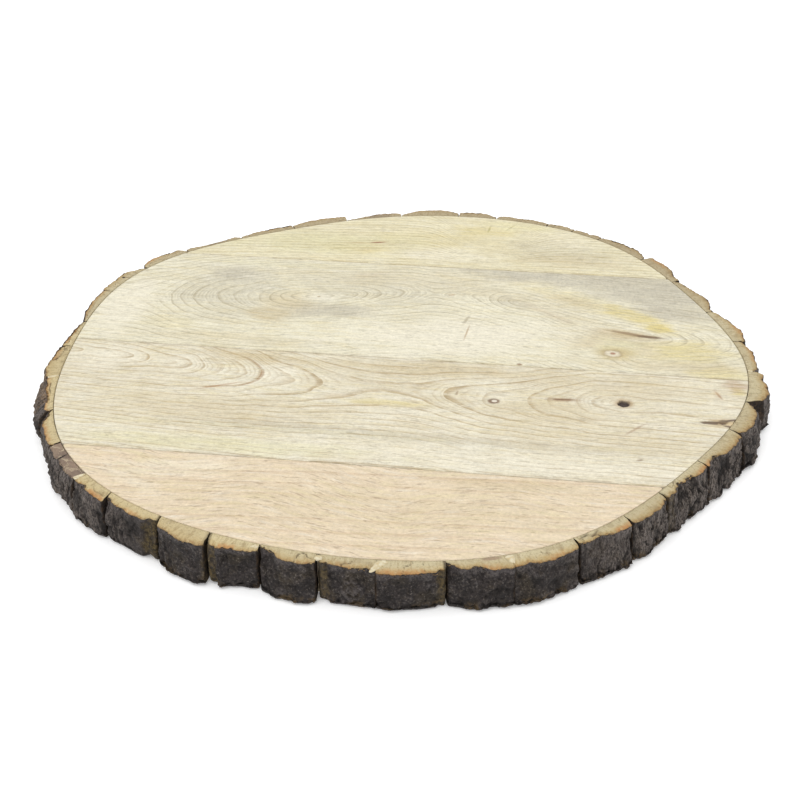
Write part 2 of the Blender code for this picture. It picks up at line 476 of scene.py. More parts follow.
# The heart is given as (x, y), and its nearness as (x, growth rings): a ring's arch ends at whole numbers
MID_FRONT_RING = 3.5            # between two growth rings
MID_FRONT_HEART = (
    (-195, -26), (-171, -28), (-100, -37), (-36, -47), (30, -48), (51, -51), (107, -47), (195, -50),
)
MID_FRONT_NEARNESS = (
    (-195, 0.2), (-171, 1), (-148, 2), (-137, 3), (-113, 4), (-105, 5), (-94, 6), (-80, 7), (-72, 8),
    (-52, 9), (-36, 10), (-15, 10.7), (5, 10.8), (20, 10.6), (31, 10), (51, 9), (73, 8), (84, 7), (99, 6),
    (107, 5), (120, 4.7), (160, 4.6), (195, 4.5),
)
MID_BACK_RING = 3.4
MID_BACK_HEART = (
    (-195, 46), (-160, 48), (-58, 56), (0, 68), (50, 66), (75, 57), (100, 42), (130, 31), (195, 26),
)
MID_BACK_NEARNESS = (
    (-195, 15), (-165, 13.5), (-157, 13), (-149, 12), (-143, 11), (-136, 10), (-128, 9), (-121, 8),
    (-111, 7), (-102, 6), (-92, 4.5), (-82, 3), (-72, 1.6), (-58, 0.3), (-48, 1), (-35, 2), (-29, 3),
    (-20, 4), (-5, 5), (3, 6), (20, 6.6), (36, 5), (46, 4), (51, 3), (60, 1.5), (100, 1.2), (140, 1.5),
    (155, 3), (163, 4), (173, 5), (195, 8),
)

# Knots that the rings bend round: x, y, width, height
MID_FRONT_SWELLS = ((124, -46.5, 9, -2.5), (56, -52.5, 5, -2), (172, -58, 12, -1.2), (-173, -28, 5, 2))
MID_BACK_SWELLS = (
    (119.5, 6.5, 10, 9), (23, 68, 5, -4), (68, -13, 3, 2), (-158, 44.5, 4, -4), (75, 50, 14, 4),
)

# Stains: kind, middle, half length and half breadth, turn in degrees, strength
MID_FRONT_STAINS = (
    ("tan", (-80, -22), (34, 8), -4, 0.9),
    ("tan", (20, -23), (75, 10), 0, 0.75),
    ("tan", (120, -30), (62, 18), 0, 0.5),
    ("tan", (100, -75), (70, 16), -12, 0.35),
    ("tan", (-100, -78), (90, 15), 2, 0.5),
    ("tan", (-5, -38), (40, 16), 0, 0.25),
    ("tan", (85, -60), (48, 16), -6, 0.6),
    ("pale", (-160, -32), (22, 14), 0, 1.3),
    ("pale", (-120, -34), (15, 9), 0, 0.9),
    ("pale", (-62, -38), (10, 12), 0, 0.9),
    ("pale", (8, -72), (45, 8), 0, 0.5),
    ("pale", (60, -108), (130, 10), 0, 0.8),
    ("plain", (40, -103), (130, 14), 0, 0.7),
    ("plain", (-110, -108), (70, 12), 0, 0.5),
    ("plain", (-130, -70), (60, 8), 0, 0.3),
    ("plain", (-170, -36), (22, 9), 0, 0.55),
    ("green", (-78, -110), (85, 8), 0, 0.7),
    ("green", (-60, -93), (110, 3), 0, 0.3),
    ("yellow", (-3, -61), (24, 3.5), 0, 0.6),
    ("grey", (30, -92), (130, 5), 0, 0.45),
    ("grey", (-40, -90), (80, 4), 0, 0.6),
    ("brown", (-25, -57), (14, 3), 4, 0.14),
    ("grey", (34.5, -22.5), (5, 3.5), 0, 0.9),
    ("brown", (184, -21), (7, 6), 10, 0.55),
    ("yellow", (186, -27), (5, 5), 0, 0.8),
    ("brown", (174, -32), (2, 5), 20, 0.35),
)
MID_BACK_STAINS = (
    ("pale", (-172, 30), (17, 45), 0, 0.9),
    ("pale", (30, 14), (75, 28), 5, 1.0),
    ("plain", (10, 12), (150, 24), 3, 0.85),
    ("plain", (-174, 20), (18, 40), 0, 0.7),
    ("pale", (-103, 78), (9, 1.6), 0, 0.9),
    ("plain", (100, 88), (75, 18), -10, 0.6),
    ("grey", (-118, 62), (36, 40), 0, 0.52),
    ("grey", (-112, 28), (30, 12), 10, 0.3),
    ("grey", (-48, 38), (34, 11), 8, 0.9),
    ("grey", (-20, 70), (60, 26), 0, 0.3),
    ("grey", (140, 86), (50, 28), -25, 1.35),
    ("grey", (75, 100), (60, 12), -8, 1.0),
    ("grey", (-115, 78), (22, 12), 0, 0.95),
    ("grey", (60, 62), (16, 7), -30, 0.5),
    ("tan", (-82, 29), (15, 9), -10, 1.15),
    ("tan", (-76, 44), (22, 18), 0, 0.7),
    ("tan", (122, 20), (30, 16), -8, 0.9),
    ("tan", (90, 50), (35, 9), -30, 0.35),
    ("yellow", (105, 68), (55, 10), -27, 0.4),
    ("yellow", (132, 54), (34, 9), -32, 0.85),
    ("yellow", (146, 42), (11, 8), -40, 1.3),
    ("yellow", (160, 14), (32, 15), 0, 0.75),
    ("yellow", (178, -8), (20, 8), 0, 0.8),
    ("tan", (150, -4), (60, 9), 0, 0.6),
    ("tan", (95, 69), (24, 9), -20, 0.7),
    ("tan", (-100, -3), (60, 8), 0, 0.35),
    ("tan", (60, 70), (60, 10), -15, 0.35),
    ("tan", (-10, 88), (90, 16), 0, 0.35),
    ("yellow", (-142, 12), (18, 9), 0, 0.25),
    ("green", (122, 14), (14, 13), 0, 0.9),
    ("brown", (84, 50), (24, 3), -38, 0.16),
    ("green", (-78, 98), (80, 6), 0, 0.25),
    ("brown", (-30, 90), (14, 4), 20, 0.12),
)
BACK_STAINS = (
    ("green", (-70, 135), (75, 20), 6, 0.7),
    ("yellow", (-45, 130), (30, 10), 5, 0.55),
    ("yellow", (36, 167), (26, 11), 0, 0.6),
    ("lemon", (60, 177), (30, 9), -12, 1.0),
    ("lemon", (-80, 140), (40, 8), 5, 0.5),
    ("lemon", (30, 122), (24, 5), -18, 0.6),
    ("yellow", (0, 150), (60, 14), 4, 0.35),
    ("pale", (15, 125), (42, 12), -8, 0.7),
    ("pale", (90, 160), (30, 12), -20, 0.35),
    ("tan", (100, 125), (45, 12), 0, 0.6),
    ("grey", (90, 138), (45, 20), -15, 0.4),
    ("brown", (-40, 127), (9, 4), 10, 0.2),
)
FRONT_STAINS = (
    ("pale", (-95, -132), (40, 8), 8, 0.5),
    ("pale", (-110, -146), (26, 5), -30, 0.4),
    ("tan", (20, -150), (120, 20), 0, 0.3),
    ("tan", (70, -128), (40, 7), 0, 0.5),
    ("brown", (60, -125), (30, 5), 0, 0.1),
)


def front_rings(x, y, depth):
    """Even, nearly straight rings: the distance from a line that rises a little to the right."""
    return y - 0.06 * x + 0.5 * depth + 1.5 * noise(x / 60.0, y / 25.0, 0.0, 4)


def mid_front_rings(x, y, depth):
    """Two sets of arches that open away from each other, either side of a saddle."""
    return arches(x, y, depth, MID_FRONT_RING, MID_FRONT_HEART, MID_FRONT_NEARNESS, MID_FRONT_SWELLS)


def mid_back_rings(x, y, depth):
    """Ovals round an eye, and beside them a long eye that trails off to the right."""
    return arches(x, y, depth, MID_BACK_RING, MID_BACK_HEART, MID_BACK_NEARNESS, MID_BACK_SWELLS)


BACK_MIDDLE = 110.0             # where the rear plank's rings are level with Y


def back_rings(x, y, depth):
    """Lines that rise to the right on the left half, then crowd together at a crotch in the wood.

    The distance is 110 + (y - 110 - rise) / pinch, with pinch = 1 - 0.7 · exp(-((x - 42) / 28)²), plus
    0.6 · depth and noise.
    """
    pinch = 1.0 - 0.7 * np.exp(-(((x - 42.0) / 28.0) ** 2))
    rise = 0.10 * np.minimum(x, 0.0)
    ring = (y - BACK_MIDDLE - rise) / pinch + BACK_MIDDLE
    wander = 1.2 * noise(x / 35.0, y / 12.0, 0.0, 9)
    return ring + 0.6 * depth + wander + 0.5 * noise(x / 9.0, y / 4.0, 0.0, 10)


def plank_relief(x, y):
    """How deep the top face lies below flat: a slight waviness left by sanding."""
    return 0.04 + 0.04 * noise(x / 17.0, y / 6.0, 0.0, 6)


KNOT_HOLE = (124.0, -46.5, 3.1, 1.6)           # x, y, radius, depth
RIM_CRACK = (171.0, -59.5, 9.0, 1.6, 0.6)      # x, y, half length, half breadth, depth


def mid_front_relief(x, y):
    """The waviness, with an open knot and a crack that widens towards the bark."""
    hole_x, hole_y, radius, depth = KNOT_HOLE
    away = np.hypot(x - hole_x, y - hole_y) + 0.35 * noise(x / 1.5, y / 1.5, 0.0, 8)
    hole = depth * smooth(away, radius + 0.5, radius - 1.1)
    crack_x, crack_y, length, breadth, crack_depth = RIM_CRACK
    share = np.clip((x - crack_x) / length, -1.0, 1.0)
    opening = breadth * (0.25 + 0.6 * (share + 1.0) / 2.0)
    beside = np.abs(y - crack_y - 0.8 * share) + 0.8 * layered(x / 3.0, y / 2.0, 0.0, 2)
    inside = smooth(beside, opening + 0.4, opening - 1.0) * smooth(np.abs(x - crack_x), length, length - 3.0)
    return plank_relief(x, y) + hole + crack_depth * inside


def add_plank(name, rings, relief, stains, crowd, material):
    """One plank, with its grid run along Y between two seams, or along X where it has one seam."""
    low, high = np.array(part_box(name)) / MM
    between = low[1] > -SEAM_REACH and high[1] < SEAM_REACH
    if between:
        places = plank_places(low[1], high[1], int((high[1] - low[1]) / PLANK_SPACING), crowd[1])
        edges = edge_crossing(places, 1, -1), edge_crossing(places, 1, 1)
        centres = (np.array(crowd[0]) - low[0]) / (high[0] - low[0])
        shares = crowded(int((high[0] - low[0]) / PLANK_SPACING), centres, 0.02)
    else:
        seam, side = (low[1], 1) if low[1] > 0.0 else (high[1], -1)
        corner = node_points(name)
        corner = corner[np.abs(corner[:, 1] - seam) < 0.01, 0]
        tips = corner.min() + PLANK_TIP, corner.max() - PLANK_TIP
        places = plank_places(*tips, int(np.ptp(corner) / PLANK_SPACING))
        edge = edge_crossing(places, 0, side)
        flat = np.full(places.shape, seam)
        edges = (flat, edge) if side > 0 else (edge, flat)
        shares = crowded(int((high[1] - low[1]) / PLANK_SPACING), (), 1.0)
    along, across, height, faces = plank_grid(places, *edges, shares)
    x, y = (across, along) if between else (along, across)
    if not between:
        faces = faces[:, ::-1]
    depth = TOP - height
    flat_top = smooth(depth, PLANK_ROUNDING, 0.0)
    marks = stain_marks(x, y, stains)
    for kind in marks:
        marks[kind] = np.minimum(marks[kind], 1.0) * (0.25 + 0.75 * smooth(height, 2.0, 18.0))
    marks["ring"] = rings(x, y, depth)
    marks["seam"] = np.zeros(x.shape)
    for seam in (low[1], high[1]):
        if abs(seam) < SEAM_REACH:
            marks["seam"] = np.maximum(marks["seam"], smooth(np.abs(y - seam), 1.3, 0.3))
    marks["plain"] = np.minimum(marks["plain"], smooth(height, 2.0, 18.0))
    lowered = np.where(height > TOP / 2.0, -relief(x, y), plank_relief(x + 40.0, y)) * np.maximum(
        flat_top, smooth(height, PLANK_ROUNDING, 0.0)
    )
    points = np.stack([x, y, height + lowered], axis=-1)
    make_piece(name + "_wood", name, points, clean_faces(faces), marks, material)


# The wood's finish

STAIN_COLOURS = {
    "grey": (203, 196, 176),
    "yellow": (226, 209, 138),
    "lemon": (243, 235, 190),
    "tan": (214, 198, 160),
    "pale": (243, 236, 214),
    "brown": (172, 124, 80),
    "green": (228, 222, 180),
}
UNDERSIDE = 12.0                # below this height a knot of the top face no longer shows
BOLD_RING_COLOUR = (164, 122, 80)

# Knots and streaks on the top face: middle, half length and half breadth, turn, edge (share of the
# size over which it fades), colour, strength
MID_FRONT_KNOTS = (
    ((56, -52.5), (3.3, 2.9), 0, 0.35, (128, 100, 74), 0.9),
    ((56.3, -52.3), (1.5, 1.3), 0, 0.4, (236, 226, 208), 1.0),
    ((124, -46.5), (5.6, 5.2), 0, 0.5, (190, 166, 130), 0.8),
    ((124, -46.5), (3.4, 3.3), 0, 0.3, (66, 52, 46), 1.0),
    ((92, -46.5), (9, 2.0), 4, 0.7, (160, 124, 84), 0.75),
    ((93, -46.3), (7, 0.8), 4, 0.6, (124, 92, 60), 0.8),
    ((174, -59.0), (9.5, 4.4), 8, 0.6, (196, 172, 130), 0.75),
    ((169, -59.6), (7.5, 1.7), 2, 0.4, (102, 82, 62), 0.9),
    ((174, -58.0), (3.2, 2.2), 20, 0.5, (116, 94, 70), 0.85),
    ((178.5, -56.0), (4.2, 0.9), 20, 0.5, (92, 70, 50), 0.85),
    ((177, -62.4), (4.4, 0.9), -14, 0.5, (104, 80, 56), 0.85),
    ((178, -59.4), (2.9, 1.7), 10, 0.35, (228, 206, 164), 0.95),
    ((172, -59.8), (1.2, 0.7), 0, 0.4, (206, 184, 146), 0.8),
    ((128.5, -71), (8.5, 0.9), 47, 0.8, (170, 140, 112), 0.6),
    ((174.5, -32), (4.5, 0.8), -70, 0.8, (176, 138, 100), 0.7),
    ((130, -98), (2, 0.9), 20, 0.6, (150, 128, 104), 0.7),
    ((36, -47), (2.4, 0.8), 80, 0.6, (168, 146, 118), 0.7),
    ((-92, -55), (14, 0.9), 24, 0.9, (178, 132, 90), 0.55),
)
MID_BACK_KNOTS = (
    ((121.5, 7.0), (12, 7.5), 0, 0.7, (204, 184, 132), 0.8),
    ((119.6, 6.6), (6.0, 5.0), 0, 0.4, (166, 144, 106), 0.7),
    ((119.5, 6.5), (4.5, 3.6), 0, 0.4, (234, 224, 198), 0.95),
    ((119.8, 6.7), (1.8, 1.5), 0, 0.5, (170, 126, 96), 0.95),
    ((130, 30.5), (20, 4.5), -10, 0.9, (190, 164, 116), 0.6),
    ((130, 31), (14, 1.8), -14, 0.6, (144, 116, 76), 0.75),
    ((141, 28.6), (9.5, 1.7), -4, 0.6, (118, 92, 60), 0.9),
    ((23, 68), (2.6, 1.6), 20, 0.8, (198, 174, 138), 0.6),
    ((-57, 55), (10, 5.5), 0, 0.7, (240, 234, 214), 0.55),
    ((-58, 55.5), (1.2, 1.0), 0, 0.5, (176, 158, 124), 0.8),
    ((34.5, 36), (6.8, 1.1), 76, 0.9, (172, 160, 132), 0.7),
    ((36, 21), (9.5, 0.6), 84, 0.9, (176, 142, 98), 0.7),
    ((68, -12.4), (1.8, 1.3), 0, 0.6, (150, 118, 84), 0.8),
)
BACK_KNOTS = (
    ((-33, 139.8), (6.5, 1.3), 13, 0.7, (156, 108, 70), 0.9),
    ((-46, 137.5), (8, 0.7), 6, 0.9, (188, 154, 106), 0.6),
    ((40, 170.5), (5.5, 0.9), 84, 0.8, (176, 166, 106), 0.7),
    ((55, 176), (6.5, 0.8), 60, 0.8, (186, 176, 120), 0.6),
    ((-30, 137), (22, 0.5), 5, 0.9, (190, 160, 112), 0.5),
)


def make_wood(
    name, light, deep, ring_colour, ring_width, ring_strength, dashes, knots, bold=None, wave=16.0
):
    """Sanded wood: growth rings, long fibres, pores, stains and knots.

    A growth ring darkens slowly across its width and ends at once, and each is as strong as chance
    makes it. Fibres and pores are noise that is drawn out along X. dashes says how far the pores
    show as dark strokes. bold is (ring, centre, radii): one ring that stands out in one area. wave is
    how far the fibres swing from side to side, in millimetres.
    """
    wood = Recipe(name, 0.52, 0.35)
    ring = wood.mark("ring")
    order = ring / ring_width
    share = order.math("FRACT")
    number = order.math("FLOOR")
    luck = (number * 6.7 + 1.0).math("SINE") * (number * 8.0 + 2.0).math("SINE")
    luck = luck.math("ABSOLUTE") ** 0.5
    patchy = wood.noise(wood.vector(wood.x * 0.02, wood.y * 0.06, wood.z * 0.06), 1.0, 3.0)
    broken = wood.noise(wood.vector(wood.x * 0.09, wood.y * 0.35, wood.z * 0.35), 1.0, 3.0, 0.65)
    shown = (1.0 - wood.mark("plain")) * (0.4 + 0.6 * broken.fade(0.36, 0.54))
    line = share.fade(0.7, 0.93) * share.fade(1.0, 0.97) * (0.3 + 0.7 * luck) * shown
    late = share.fade(0.05, 0.9) * share.fade(1.0, 0.95) * (0.3 + 0.7 * luck) * shown
    fine_share = (ring / (ring_width * 0.29)).math("FRACT")
    fine = fine_share.fade(0.4, 0.9) * fine_share.fade(1.0, 0.9) * patchy.fade(0.38, 0.6) * shown
    band = wood.noise(wood.vector(wood.x * 0.004, wood.y * 0.22, wood.z * 0.22), 1.0, 3.0, 0.6)

    grain_y = wood.y + (wood.noise(wood.place, 0.012, 1.0) - 0.5) * wave
    fibre = wood.noise(wood.vector(wood.x * 0.03, grain_y * 0.55, wood.z * 0.55), 1.0, 6.0, 0.7)
    dash = wood.noise(wood.vector(wood.x * 0.16, grain_y * 0.7, wood.z * 0.7), 1.0, 3.0, 0.7)
    pore = wood.noise(wood.vector(wood.x * 0.19, grain_y * 1.25, wood.z * 1.25), 1.0, 1.0).fade(0.6, 0.7)
    cloud = wood.noise(wood.place, 0.035, 3.0)
    curl = wood.noise(wood.vector(wood.x * 0.55, wood.y * 0.16, wood.z), 1.0, 2.0, 0.6)
    grit = wood.noise(wood.place, 0.75, 3.0, 0.75)
    warmth = wood.noise(wood.vector(wood.x * 0.05, grain_y * 0.42, wood.z * 0.42 + 7.0), 1.0, 4.0, 0.7)

    depth_of_tint = cloud.fade(0.3, 0.7) * 0.4 + late * 0.3 + band.fade(0.35, 0.65) * 0.5
    tint = wood.mix(depth_of_tint, colour(*light), colour(*deep))
    tint = wood.coats(
        tint,
        (warmth.fade(0.47, 0.66) * 0.55, (228, 214, 170)),
        (warmth.fade(0.47, 0.3) * 0.5, (243, 238, 222)),
    )
    for kind, stain in STAIN_COLOURS.items():
        patch = wood.mark(kind) * (0.55 + 0.45 * fibre.fade(0.38, 0.6))
        tint = wood.mix(patch, tint, colour(*stain))
    tint = wood.mix(wood.mark("grey") * curl.fade(0.5, 0.62) * 0.34, tint, colour(184, 178, 160))
    tint = wood.mix(line * ring_strength, tint, colour(*ring_colour))
    tint = wood.mix(late * (0.15 * ring_strength), tint, colour(*ring_colour))
    tint = wood.mix(fine * (0.5 + 0.4 * wood.mark("grey")) * ring_strength, tint, colour(*ring_colour))
    if bold:
        bold_ring, centre, radii = bold
        nearby = wood.ellipse(centre, radii).fade(1.2, 0.6)
        stroke = (ring - bold_ring * ring_width).math("ABSOLUTE").fade(0.65, 0.1)
        tint = wood.mix(stroke * nearby * 0.55 * broken.fade(0.3, 0.5), tint, colour(*BOLD_RING_COLOUR))
    tint = wood.mix(pore * dashes, tint, colour(*[0.74 * part for part in ring_colour]))
    tint = wood.mix(wood.mark("seam") * broken.fade(0.35, 0.6) * 0.3, tint, colour(158, 134, 100))
    top = wood.z.fade(UNDERSIDE - 1.0, UNDERSIDE + 1.0)
    for centre, radii, turn, edge, stain, strength in knots:
        out = wood.ellipse(centre, radii, turn, 0.5)
        tint = wood.mix(out.fade(1.0 + edge / 2.0, 1.0 - edge) * top * strength, tint, colour(*stain))
    tint = wood.shade(tint, 0.36 + 0.26 * fibre + 0.44 * dash + 0.58 * grit)
    height = fibre * 0.5 + line * 0.25 - pore * 0.5 + grit * 0.3
    return wood.finish(tint, height, 0.05, 0.44 + 0.12 * fibre + 0.06 * line)


# The bark

BARK_SPACING = 0.4              # between the stations along a block
BARK_RADIUS = 190.0             # at which a turn is measured as a length along the rim
BARK_GAP = 0.8                  # between two packed blocks
GOLDEN_ANGLE = -2.5             # radians, where the sawn tops are the most golden
FACE_LEVELS = 5                 # in a packed block, from the bottom to the top
SECTION_COUNTS = (16, 52, 10, 12)       # points across the top, down the outside, below, up the inside
CAP_SHRINK = (0.97, 0.9, 0.8, 0.68, 0.54, 0.4, 0.26, 0.12)      # of the section, towards each end's middle
SMOOTH_BARK_MIDDLE = 270.0      # degrees, where the bark is granular and not stringy
SMOOTH_BARK_REACH = (24.0, 46.0)


def bark_outline(name):
    """A packed block as arrays: angles of its stations, inner radius, outer radii and level heights.

    The corners are sorted by angle into stations, and at each one the nearest is the inner edge and
    the others, by height, are the outer face.
    """
    points = node_points(name)
    angle = np.arctan2(points[:, 1], points[:, 0])
    middle = math.atan2(points[:, 1].mean(), points[:, 0].mean())
    angle = middle + (angle - middle + math.pi) % (2.0 * math.pi) - math.pi
    radius = np.hypot(points[:, 0], points[:, 1])
    step = np.round((angle - angle.min()) / np.ptp(angle), 3)
    rows = {}
    for share, turn, out, height in zip(step, angle, radius, points[:, 2]):
        rows.setdefault(round(share, 2), {}).setdefault(round(height, 2), []).append((out, turn))
    stations = [rows[share] for share in sorted(rows)]
    heights = np.array(sorted(stations[0]))
    turns = np.array([station[heights[0]][0][1] for station in stations])
    inner = np.array([min(station[heights[0]])[0] for station in stations])
    outer = np.array([[max(station[height])[0] for height in heights] for station in stations])
    return turns, inner, outer, heights


# What is special about a block, by its number: kind, where it starts and ends as shares of the
# block's length, and how strong it is. A bare patch has lost its bark, a worn stretch has its top
# corner broken off, a ledge is an outer layer that stands lower, smoke darkens the sawn top, and a
# chip is an orange break. On a rusty stretch the upper half of the skin has flaked to brown.
BARK_FEATURES = {
    1: (("chip", 0.2, 0.5, 0.5),),
    2: (("worn", 0.0, 0.2, 0.5),),
    3: (("chip", 0.5, 0.9, 0.6), ("worn", 0.1, 0.3, 0.6)),
    4: (("ledge", 0.3, 0.8, 0.6),),
    5: (("worn", 0.3, 0.6, 0.4),),
    7: (("worn", 0.4, 0.7, 0.5),),
    8: (("worn", 0.0, 0.12, 0.7), ("ledge", 0.5, 0.9, 0.5)),
    10: (("worn", 0.8, 1.0, 0.5), ("smoke", 0.2, 0.6, 0.4)),
    12: (("chip", 0.3, 0.6, 0.4), ("ledge", 0.0, 0.5, 0.6)),
    13: (("smoke", 0.3, 0.6, 0.25), ("worn", 0.5, 0.7, 0.5)),
    14: (("chip", 0.5, 0.9, 0.7), ("worn", 0.2, 0.4, 0.5)),
    15: (("worn", 0.0, 0.15, 0.6),),
    16: (("chip", 0.0, 1.0, 0.35), ("ledge", 0.4, 1.0, 0.5)),
    17: (("chip", 0.2, 0.9, 0.7), ("ledge", 0.1, 0.9, 0.8), ("rusty", 0.0, 1.0, 0.8)),
    18: (("chip", 0.1, 0.45, 0.6), ("ledge", 0.0, 0.5, 0.7), ("rusty", 0.0, 1.0, 1.0)),
    19: (
        ("chip", 0.0, 1.0, 0.5), ("worn", 0.5, 0.8, 0.6), ("ledge", 0.1, 0.7, 1.0),
        ("rusty", 0.0, 0.7, 1.0),
    ),
    20: (
        ("chip", 0.2, 0.9, 0.6), ("worn", 0.0, 0.2, 0.6), ("ledge", 0.0, 0.4, 0.9),
        ("rusty", 0.0, 0.3, 0.5),
    ),
    21: (("smoke", 0.0, 1.0, 1.0), ("worn", 0.3, 0.7, 0.4)),
    22: (("chip", 0.55, 0.97, 1.0), ("worn", 0.25, 0.45, 0.5), ("ledge", 0.55, 0.97, 0.5)),
    23: (("bare", 0.82, 1.0, 1.0), ("chip", 0.45, 0.68, 0.6), ("worn", 0.0, 0.12, 0.8)),
    24: (("bare", 0.95, 1.0, 0.5),),
    25: (("bare", 0.0, 0.2, 1.0), ("worn", 0.3, 0.55, 0.5), ("chip", 0.25, 0.6, 0.8)),
    26: (("worn", 0.0, 0.34, 1.0),),
    27: (("bare", 0.0, 0.17, 0.8), ("worn", 0.72, 0.92, 0.5), ("chip", 0.3, 0.6, 0.3)),
    28: (("chip", 0.05, 0.7, 0.6), ("bare", 0.88, 1.0, 0.9)),
    29: (("worn", 0.0, 0.12, 0.8), ("worn", 0.3, 0.6, 0.5), ("chip", 0.55, 0.8, 0.5)),
    30: (("chip", 0.5, 0.75, 0.4), ("worn", 0.1, 0.3, 0.4)),
    31: (("chip", 0.68, 1.0, 0.9), ("worn", 0.3, 0.5, 0.4)),
    32: (("worn", 0.85, 1.0, 0.5),),
    33: (("bare", 0.0, 0.12, 0.5), ("chip", 0.75, 1.0, 0.9), ("worn", 0.25, 0.7, 0.8)),
    34: (("chip", 0.0, 0.12, 1.0), ("worn", 0.12, 0.3, 0.8)),
    35: (("worn", 0.0, 0.15, 0.6), ("worn", 0.85, 1.0, 0.8)),
    36: (("worn", 0.7, 0.85, 0.4),),
    37: (("worn", 0.0, 0.1, 0.4), ("chip", 0.3, 0.8, 0.5)),
}

# How far the outer corners of two neighbours are rounded off at each joint, in millimetres. The first
# is the joint where block 1 starts.
JOINT_CORNERS = (
    0.8, 1.5, 1.0, 1.4, 1.0, 0.8, 0.8, 2.0, 1.6, 2.4, 1.0, 1.6, 2.0, 1.6, 2.6, 1.2, 2.0, 1.2, 1.4, 2.0,
    1.6, 1.4, 1.0, 1.2, 0.9, 0.9, 1.0, 0.5, 0.9, 0.5, 1.2, 1.4, 1.2, 0.9, 1.1, 0.9, 2.4,
)

# Filler in the joint where a block starts: from and to which share of the bark's width, its widths
# there, and how far it lies to the block's side of the joint there, in millimetres
FILLERS = {
    19: ((0.0, 1.0), (2.0, 2.4), (0.0, 0.4)),
    22: ((0.0, 1.0), (1.8, 3.0), (0.3, 0.0)),
    26: ((0.1, 0.8), (2.6, 3.6), (-1.4, -2.6)),
    27: ((0.1, 0.62), (3.4, 3.6), (0.9, 1.0)),
    28: ((0.0, 1.0), (6.4, 2.0), (3.0, -2.2)),
    30: ((0.0, 0.7), (5.0, 1.4), (-0.2, 0.2)),
    37: ((0.0, 0.45), (3.2, 2.0), (0.4, 0.6)),
}
FILLER_BED = 0.5                # how far the blocks are sunk under it
# Joints that have opened, by the block that starts there, and how far in millimetres
OPEN_JOINTS = {
    4: 2.2, 10: 0.8, 13: 1.8, 14: 2.8, 15: 1.6, 24: 0.5, 25: 0.9, 26: 0.7, 27: 1.2, 29: 0.6, 31: 1.4, 32: 1.0,
    33: 0.8, 35: 1.4, 36: 1.2,
}
# Joints that run askew, and how far each shifts towards the next block for each mm outwards
LEANING_JOINTS = {23: 0.35, 24: 0.35, 25: 0.3, 26: 0.15, 27: 0.2, 34: -0.1, 35: -0.3, 36: 0.42}
WHORL = (27, 0.62, 10.0, 6.0)   # an old knot under the skin: block, share of its length, height, radius


def at_joints(number, table):
    """A block's two numbers from a table of joints, at its start and at its end."""
    return table.get(number, 0.0), table.get(number % len(JOINT_CORNERS) + 1, 0.0)


def feature(number, kind, share, edge=0.03):
    """How strongly a block has one kind of feature at each share of its length, with soft ends."""
    strength = np.zeros(share.shape)
    for name, start, end, most in BARK_FEATURES.get(number, ()):
        if name == kind:
            rise = 1.0 if start <= 0.0 else smooth(share, start - edge, start + edge)
            fall = 1.0 if end >= 1.0 else smooth(share, end + edge, end - edge)
            strength = np.maximum(strength, most * rise * fall)
    return strength


def bark_section():
    """The section of a block as shares: round its four faces, each from one corner to the next.

    Gives, for each point, its share from the inner edge to the outer (0 to 1), its share of the
    height (0 to 1), and how far it belongs to the outer face. The top and outer corners crowd.
    """
    top, face, below, inside = SECTION_COUNTS
    inwards = np.concatenate([
        np.linspace(0.0, 1.0, top, endpoint=False) ** 0.75,
        np.ones(face),
        np.linspace(1.0, 0.0, below, endpoint=False),
        np.zeros(inside),
    ])
    up = np.concatenate([
        np.ones(top),
        1.0 - np.linspace(0.0, 1.0, face, endpoint=False) ** 1.1,
        np.zeros(below),
        np.linspace(0.0, 1.0, inside, endpoint=False),
    ])
    outside = np.concatenate([np.zeros(top), np.ones(face), np.zeros(below + inside)])
    outside[top + face:top + face + 2] = 1.0
    return inwards, up, outside


def bark_skin_relief(along, height, strand, seed):
    """How deep the weathered face lies below its full size, and how much painted shade its hollows get.

    Plates are tall cells whose outlines are bent by noise. Between them run cracks, each plate stands
    at its own depth, and lumps and a grain are added. strand from 0 to 1 turns this into ropes down
    the trunk, with furrows between them where a stretched noise crosses zero.
    """
    bend = 2.2 * layered(along / 6.0, height / 6.0, 0.0, seed)
    bend_up = 2.2 * layered(along / 6.0, height / 6.0, 4.0, seed + 3)
    width, number = plates((along + bend) / 6.0 + seed * 1.7, (height + bend_up) / 11.0 + seed * 0.9, seed)
    crack = smooth(width, 0.22, 0.0) * smooth(noise(along / 6.0, height / 8.0, 0.0, seed + 5), -0.1, 0.6)
    lumps = layered(along / 3.8, height / 4.2, 0.0, seed + 1)
    grain = layered(along / 1.3, height / 1.5, 0.0, seed + 4, 2)
    swayed = along + 1.5 * noise(height / 9.0, along / 12.0, 0.0, seed + 2)
    ropes = layered(swayed / 2.2, height / 12.0, 0.0, seed + 2)
    furrow = smooth(np.abs(layered(swayed / 4.2, height / 16.0, 2.0, seed + 6, 2)), 0.26, 0.0)
    furrow = furrow * smooth(noise(along / 9.0, height / 9.0, 0.0, seed + 8), -0.5, 0.3)
    depth = 1.2 + (1.0 - 0.3 * strand) * (0.5 * number - 0.65 * lumps) + 0.6 * crack - 0.5 * grain
    depth = depth + strand * (1.7 * furrow - 0.7 * ropes)
    # painted shade: darker in the cracks, the low lumps and grain, and the furrows between the ropes
    hollow_shade = 0.5 * crack + 0.4 * smooth(lumps, -0.2, -1.0) + 0.35 * smooth(grain, -0.1, -0.8)
    hollow_shade = hollow_shade + strand * (0.8 * furrow + 0.3 * smooth(ropes, -0.2, -1.0))
    return np.maximum(depth, 0.0), np.clip(hollow_shade, 0.0, 1.0)


def strand_share(angle):
    """How stringy the bark is: not at all at the front, and fully on the sides and the back."""
    from_front = np.abs((np.degrees(angle) - SMOOTH_BARK_MIDDLE + 180.0) % 360.0 - 180.0)
    return smooth(from_front, *SMOOTH_BARK_REACH)


